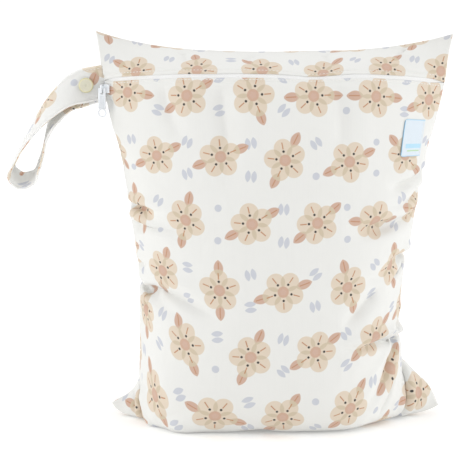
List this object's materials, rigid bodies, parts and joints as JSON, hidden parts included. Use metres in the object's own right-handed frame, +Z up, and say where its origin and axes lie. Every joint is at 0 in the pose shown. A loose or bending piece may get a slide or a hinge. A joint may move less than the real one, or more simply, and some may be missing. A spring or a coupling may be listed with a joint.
{
  "type": "cloth diaper wet bag",
  "caption": "Stuffed cloth pouch standing upright, with a lapped zip across the front, a wrist strap loop closed by a snap, and a side label.",
  "frame": {"origin": "on the underside of the bag, where it rests on the floor, below the middle of its body", "axes": "+X to the right across the front, +Y from the front with the zip to the back, +Z up"},
  "size_m": [0.3623, 0.1443, 0.3231],
  "materials": {
    "cloth": "printed polyester with a waterproof backing, matt",
    "tape": "white zip tape, matt",
    "white_plastic": "white, slightly translucent",
    "cream_plastic": "cream, satin",
    "label": "woven satin, pale blue"
  },
  "bodies": {
    "bag": {"front_panel": "cloth", "top_strip": "cloth", "back_panel": "cloth", "wrist_strap": "cloth", "zip_tape": "tape", "zip_coil": "white_plastic", "zip_slider": "white_plastic", "snap_cap": "cream_plastic", "snap_back_cap": "cream_plastic", "snap_socket": "cream_plastic", "side_label": "label"},
    "pull": {"zip_pull": "white_plastic"}
  },
  "joints": [
    {"name": "pull_lift", "type": "hinge", "parent": "bag", "child": "pull", "pos_m": [-0.14028, -0.00525, 0.27654], "axis": [-0.9272, 0.3746, 0], "range_deg": [0, 110]}
  ]
}
